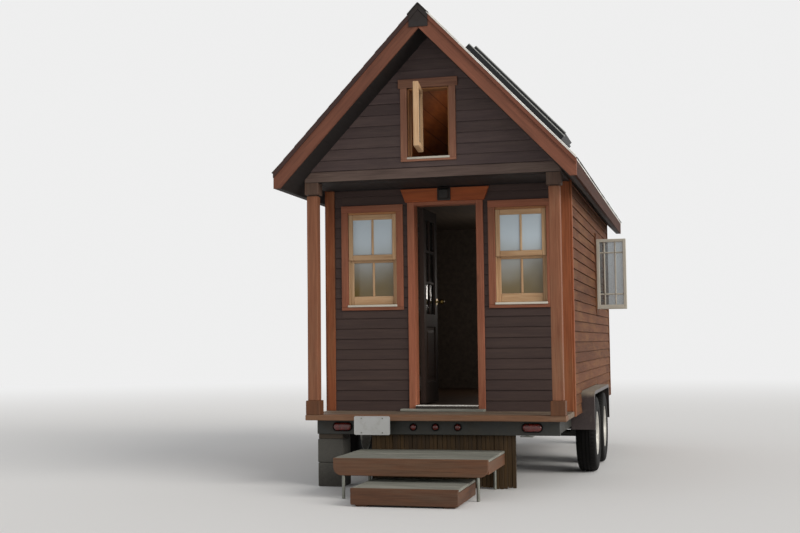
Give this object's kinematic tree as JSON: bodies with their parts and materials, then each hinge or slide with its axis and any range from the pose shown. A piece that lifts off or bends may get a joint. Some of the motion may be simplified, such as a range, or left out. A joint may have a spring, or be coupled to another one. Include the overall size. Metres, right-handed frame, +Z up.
{
  "type": "tiny house on wheels",
  "caption": "Tiny house on a trailer, with clapboard walls, a steep gabled roof over a small porch, an open front door, roof solar panels and entry steps.",
  "frame": {"origin": "on the ground, in the middle of the whole part from the lower step to the coupler", "axes": "+X to the right as seen from the porch, +Y from the porch towards the coupler, +Z up"},
  "size_m": [2.794, 6.75, 3.9007],
  "materials": {
    "trailer_steel": "worn matte paint",
    "rubber": "dusty",
    "wheel_paint": "satin",
    "fender_paint": "dusty satin",
    "siding": "dark stained boards",
    "trim_wood": "oiled",
    "frame_wood": "stained",
    "pale_wood": "varnished",
    "grey_white_paint": "painted",
    "deck_wood": "weathered",
    "step_wood": "weathered",
    "inner_wood": "varnished",
    "roofing": "mineral shingles",
    "glass": "clear",
    "red_lens": "clear lens",
    "blank_plate": "satin",
    "solar_glass": "glossy",
    "alloy": "satin",
    "steel_fittings": "brushed",
    "brass_fittings": "aged",
    "masonry": "rough"
  },
  "bodies": {
    "house": {"trailer_side_beams": "trailer_steel", "trailer_crossmembers": "trailer_steel", "rear_crossmember": "trailer_steel", "tongue_beams": "trailer_steel", "coupler": "trailer_steel", "tongue_jack": "steel_fittings", "axles": "trailer_steel", "leaf_springs": "trailer_steel", "fenders": "fender_paint", "support_blocks": "masonry", "tail_lights": "red_lens", "number_plate": "blank_plate", "porch_deck": "deck_wood", "house_floor": "inner_wood", "loft_floor": "inner_wood", "left_wall": "siding", "right_wall": "siding", "front_wall_left": "siding", "front_wall_right": "siding", "front_wall_header": "siding", "rear_wall": "siding", "rear_gable": "siding", "front_gable": "siding", "porch_front_beam": "frame_wood", "porch_side_beams": "frame_wood", "porch_posts": "frame_wood", "post_blocks": "frame_wood", "corner_boards": "trim_wood", "left_roof": "roofing", "right_roof": "roofing", "ridge_cap": "roofing", "rake_boards": "frame_wood", "eave_fascias": "frame_wood", "peak_plate": "trailer_steel", "solar_panels": "solar_glass", "panel_rails": "alloy", "door_hinges": "steel_fittings", "door_casing": "trim_wood", "door_header": "trim_wood", "door_sill": "deck_wood", "closed_windows": "pale_wood", "gable_sash": "pale_wood", "side_sashes": "grey_white_paint", "window_glass": "glass", "window_trims": "trim_wood", "lower_step": "step_wood", "upper_step": "step_wood", "skirt": "step_wood"},
    "front_door": {"door_leaf": "trim_wood", "door_glass": "glass", "door_knobs": "brass_fittings"},
    "left_wheel_1": {"left_tyre_1": "rubber", "left_rim_1": "wheel_paint"},
    "left_wheel_2": {"left_tyre_2": "rubber", "left_rim_2": "wheel_paint"},
    "right_wheel_1": {"right_tyre_1": "rubber", "right_rim_1": "wheel_paint"},
    "right_wheel_2": {"right_tyre_2": "rubber", "right_rim_2": "wheel_paint"}
  },
  "joints": [
    {"name": "front_door_hinge", "type": "hinge", "parent": "house", "child": "front_door", "pos_m": [-0.276, -1.645, 1.515], "axis": [0, 0, 1], "range_deg": [-90, 15]},
    {"name": "left_wheel_1_spin", "type": "hinge", "parent": "house", "child": "left_wheel_1", "pos_m": [-1.1, -0.755, 0.345], "axis": [1, 0, 0], "continuous": true},
    {"name": "left_wheel_2_spin", "type": "hinge", "parent": "house", "child": "left_wheel_2", "pos_m": [-1.1, 0.095, 0.345], "axis": [1, 0, 0], "continuous": true},
    {"name": "right_wheel_1_spin", "type": "hinge", "parent": "house", "child": "right_wheel_1", "pos_m": [1.1, -0.755, 0.345], "axis": [1, 0, 0], "continuous": true},
    {"name": "right_wheel_2_spin", "type": "hinge", "parent": "house", "child": "right_wheel_2", "pos_m": [1.1, 0.095, 0.345], "axis": [1, 0, 0], "continuous": true}
  ]
}
